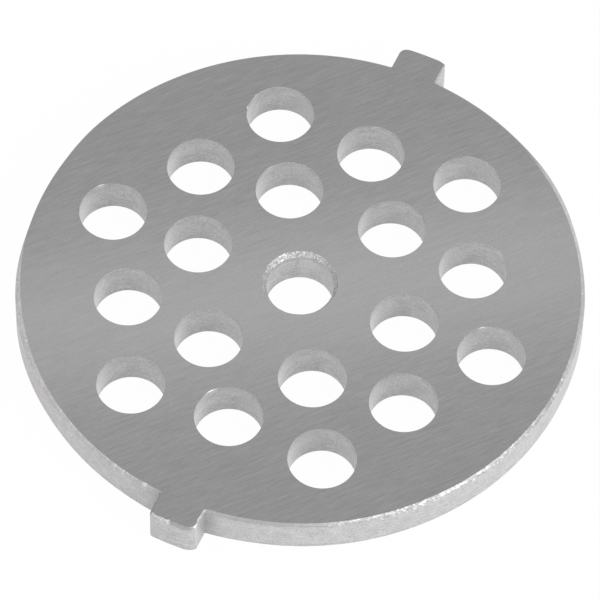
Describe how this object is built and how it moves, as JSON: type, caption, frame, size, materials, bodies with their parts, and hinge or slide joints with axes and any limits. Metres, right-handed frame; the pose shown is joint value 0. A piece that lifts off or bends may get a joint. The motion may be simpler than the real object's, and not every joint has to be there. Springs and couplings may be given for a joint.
{
  "type": "meat grinder plate",
  "caption": "Flat perforated steel plate for a meat grinder, with a chamfered spindle bore, rings of coarse feed holes and opposed locating lugs.",
  "frame": {"origin": "on the bore's axis, in the plane of the underside", "axes": "+Z along the bore's axis, out of the ground face that the knife runs on; +Y through one of the two lugs"},
  "size_m": [0.062, 0.0676, 0.0045],
  "materials": {
    "steel": "ground face, matte rim and hole walls"
  },
  "bodies": {
    "root": {"grinder_plate": "steel"}
  },
  "joints": []
}
